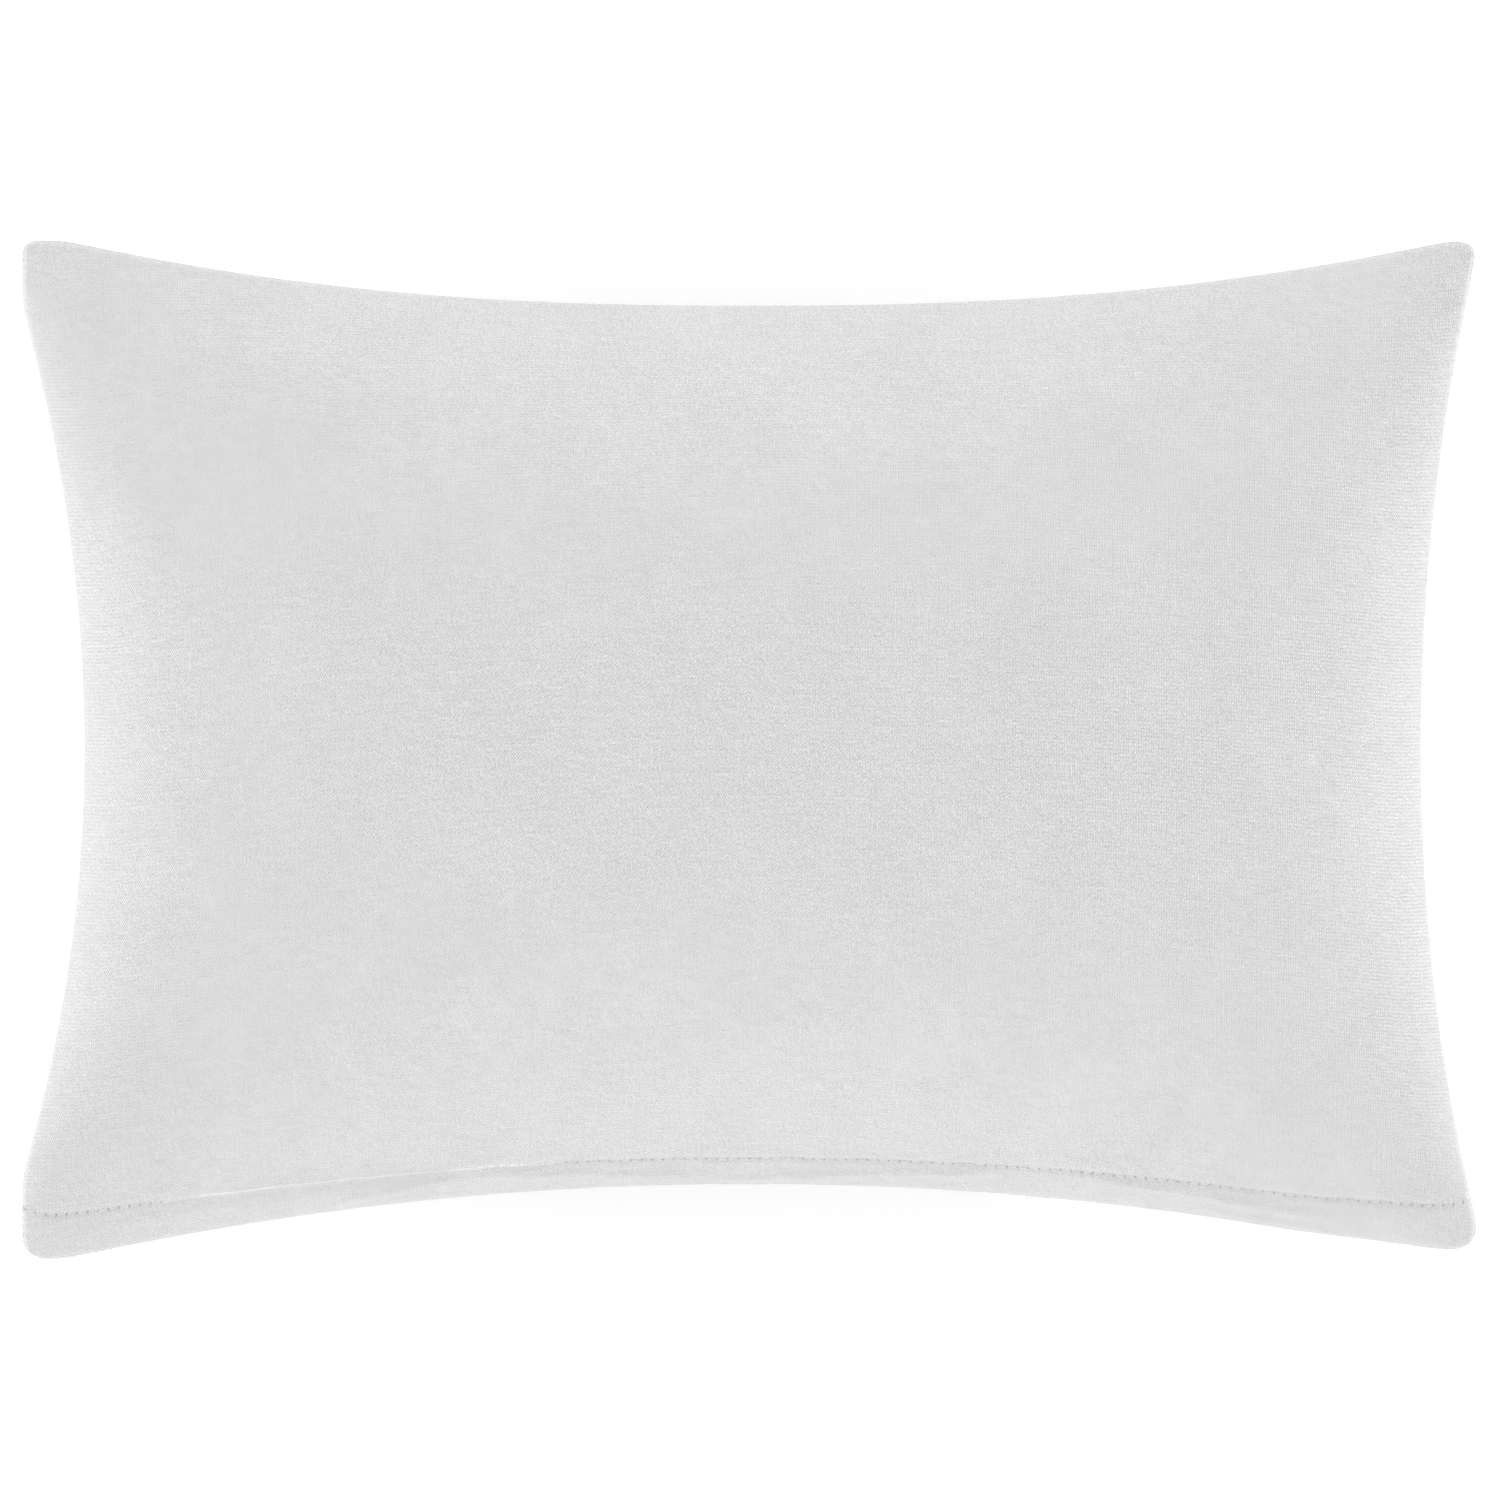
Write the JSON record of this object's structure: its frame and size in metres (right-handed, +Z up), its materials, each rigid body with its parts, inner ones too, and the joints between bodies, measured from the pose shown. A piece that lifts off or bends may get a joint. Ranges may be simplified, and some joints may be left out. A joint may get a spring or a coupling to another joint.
{
  "type": "bed pillow",
  "caption": "Small rectangular bed pillow in a plain grey-white jersey cover with drawn-in edges, a topstitched lap hiding a zip, and a fibre-filled inner pillow.",
  "frame": {"origin": "on the surface that the pillow lies on, under the middle of its box", "axes": "+X along the pillow's length, +Y from the zip edge to the opposite long edge, +Z up, out of the front panel"},
  "size_m": [0.5018, 0.3516, 0.1399],
  "materials": {
    "jersey": "matte",
    "thread": "matte",
    "ticking": "matte",
    "fibre": "matte",
    "label": "satin",
    "zip_tape": "matte",
    "zip_coil": "satin",
    "zip_metal": "satin"
  },
  "bodies": {
    "pillow": {"cover_front_panel": "jersey", "cover_back_panel": "jersey", "cover_seam_thread": "thread", "hem_topstitch_thread": "thread", "zip_back_stitch_thread": "thread", "zip_tape_front": "zip_tape", "zip_tape_back": "zip_tape", "zip_coil_front": "zip_coil", "zip_coil_back": "zip_coil", "zip_top_stop_front": "zip_metal", "zip_top_stop_back": "zip_metal", "zip_bottom_stop": "zip_metal", "ticking_front_panel": "ticking", "ticking_back_panel": "ticking", "insert_seam_thread": "thread", "insert_closing_thread": "thread", "fibre_fill": "fibre", "care_label": "label"},
    "slider": {"zip_slider": "zip_metal"},
    "pull_tab": {"zip_pull_tab": "zip_metal"}
  },
  "joints": [
    {"name": "zip_slider_run", "type": "hinge", "parent": "pillow", "child": "slider", "pos_m": [0, -1.49304, 0.05739], "axis": [0, 0, 1], "range_deg": [0, 15.08]},
    {"name": "pull_tab_swing", "type": "hinge", "parent": "slider", "child": "pull_tab", "pos_m": [0.17631, -0.16104, 0.05739], "axis": [0, 0, 1], "range_deg": [0, 170]}
  ]
}
